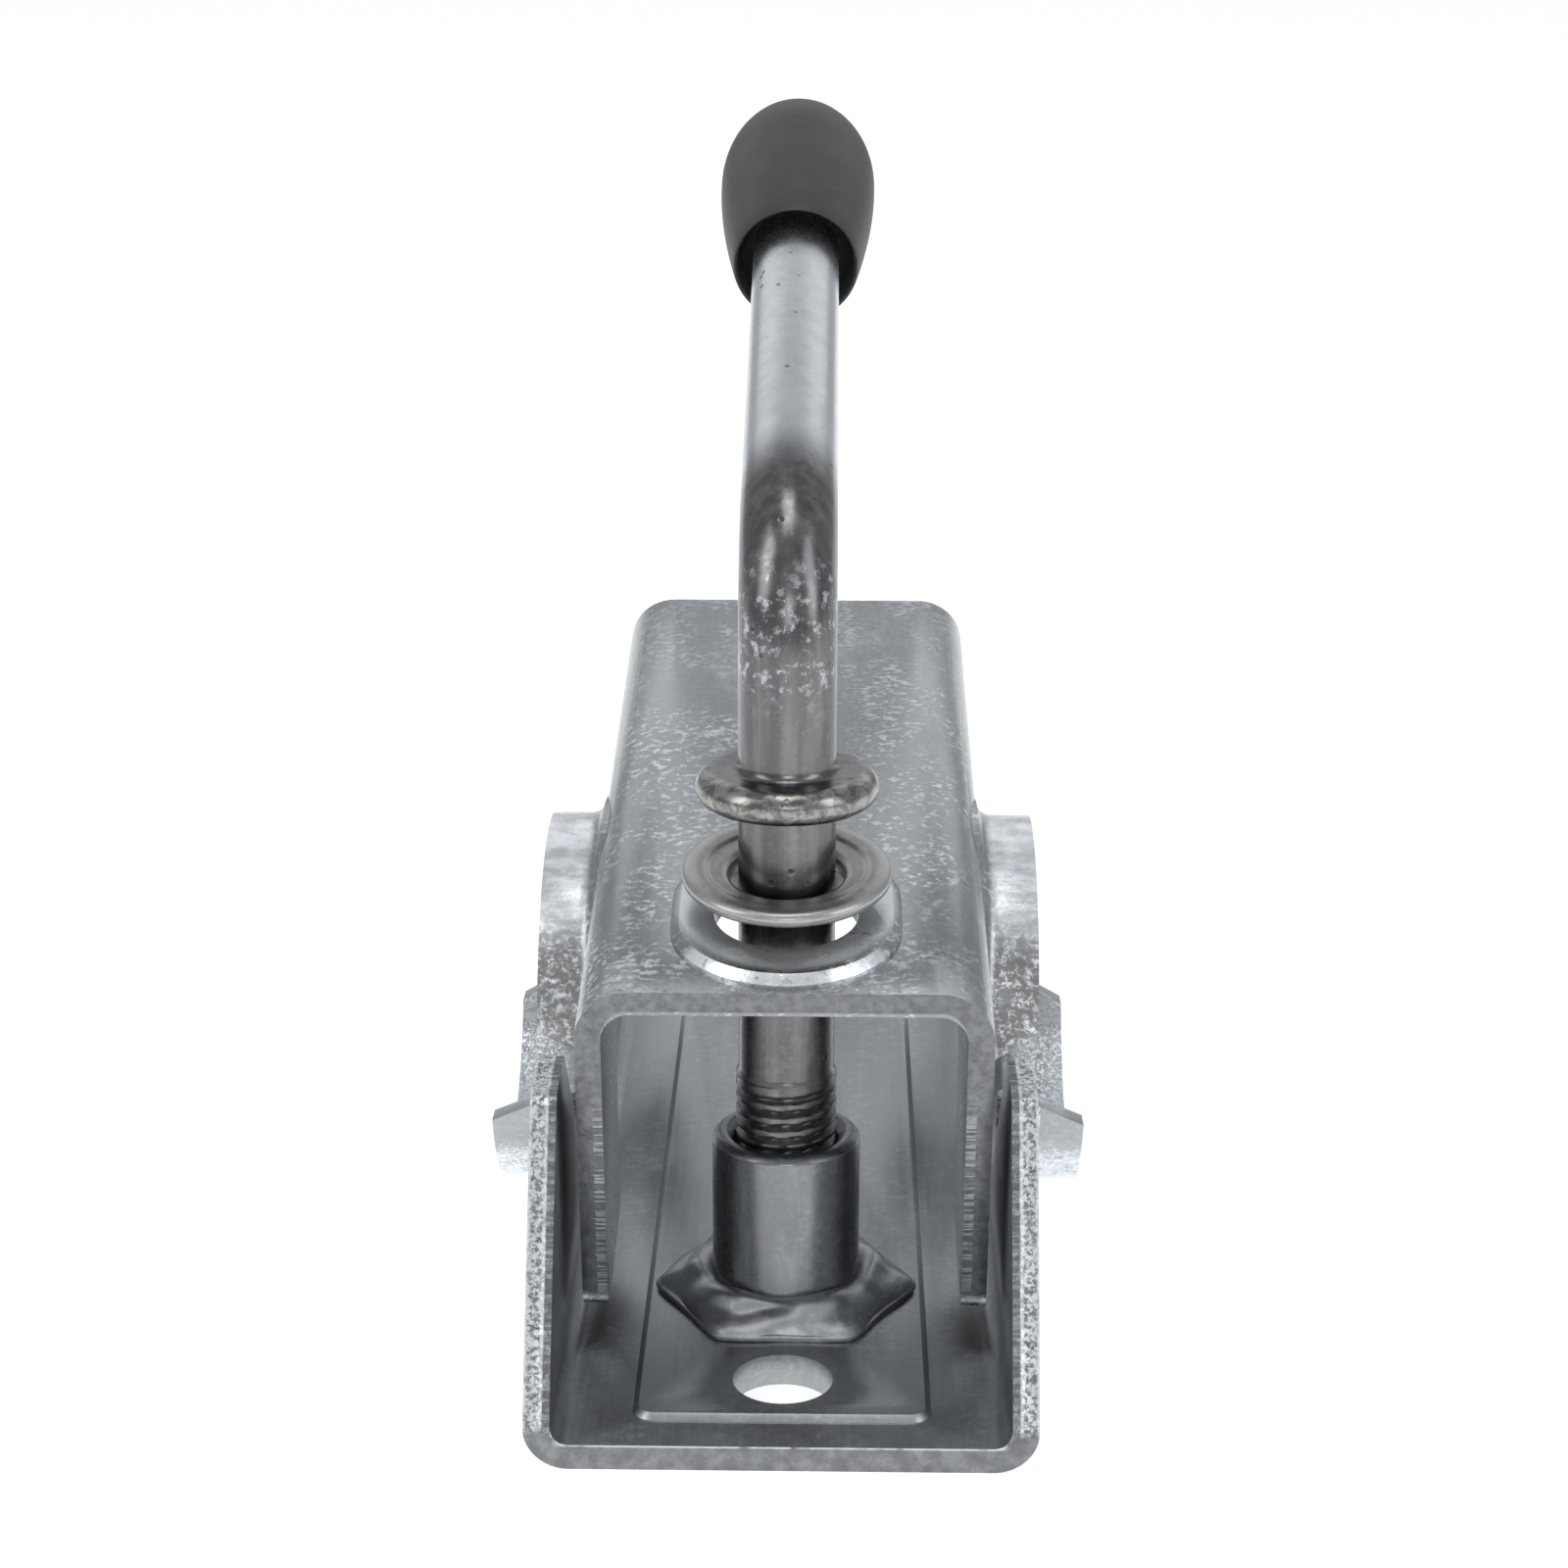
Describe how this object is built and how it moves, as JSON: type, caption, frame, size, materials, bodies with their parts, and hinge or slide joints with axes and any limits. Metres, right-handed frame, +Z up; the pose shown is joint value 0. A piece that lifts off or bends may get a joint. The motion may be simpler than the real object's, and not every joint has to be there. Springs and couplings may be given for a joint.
{
  "type": "split tube clamp",
  "caption": "Hinged pressed-steel clamp for a round jack tube, closed by a cranked screw with a soft grip.",
  "frame": {"origin": "underside of the base at the centre of the two bolt holes, straight below the tube's axis", "axes": "+Z up, +Y towards the hinge end, X along the clamped tube"},
  "size_m": [0.086, 0.1705, 0.1612],
  "materials": {
    "lower_sheet": "bright zinc plated",
    "upper_sheet": "bright zinc plated",
    "screw_steel": "bright zinc plated bar",
    "nut_steel": "bright zinc plated, turned",
    "washer_steel": "zinc plated, tumbled",
    "rivet_steel": "zinc plated",
    "grip_soft": "matt black soft plastic"
  },
  "bodies": {
    "base": {"lower_shell": "lower_sheet", "sleeve_nut": "nut_steel", "hinge_rivet_right": "rivet_steel", "hinge_rivet_left": "rivet_steel"},
    "jaw": {"upper_shell": "upper_sheet"},
    "stop_ring": {"stop_ring": "rivet_steel"},
    "screw": {"spindle": "screw_steel", "grip": "grip_soft"},
    "washer": {"cup_washer": "washer_steel"}
  },
  "joints": [
    {"name": "jaw_hinge", "type": "hinge", "parent": "base", "child": "jaw", "pos_m": [0, 0.058, 0.032], "axis": [-1, 0, 0], "range_deg": [-1.5, 1.8]},
    {"name": "screw_lift", "type": "slide", "parent": "base", "child": "stop_ring", "axis": [0, 0, 1], "range_m": [-0.003, 0.008]},
    {"name": "screw_turn", "type": "hinge", "parent": "stop_ring", "child": "screw", "pos_m": [0, -0.04, 0.08], "axis": [0, 0, 1], "range_deg": [-540, 1440]},
    {"name": "washer_lift", "type": "slide", "parent": "base", "child": "washer", "axis": [0, 0, 1], "range_m": [-0.0027, 0.0032]}
  ],
  "couplings": [
    {"joint": "screw_lift", "follows": "screw_turn", "m_per_rad": 0.00031831},
    {"joint": "washer_lift", "follows": "jaw_hinge", "m_per_rad": 0.098}
  ]
}
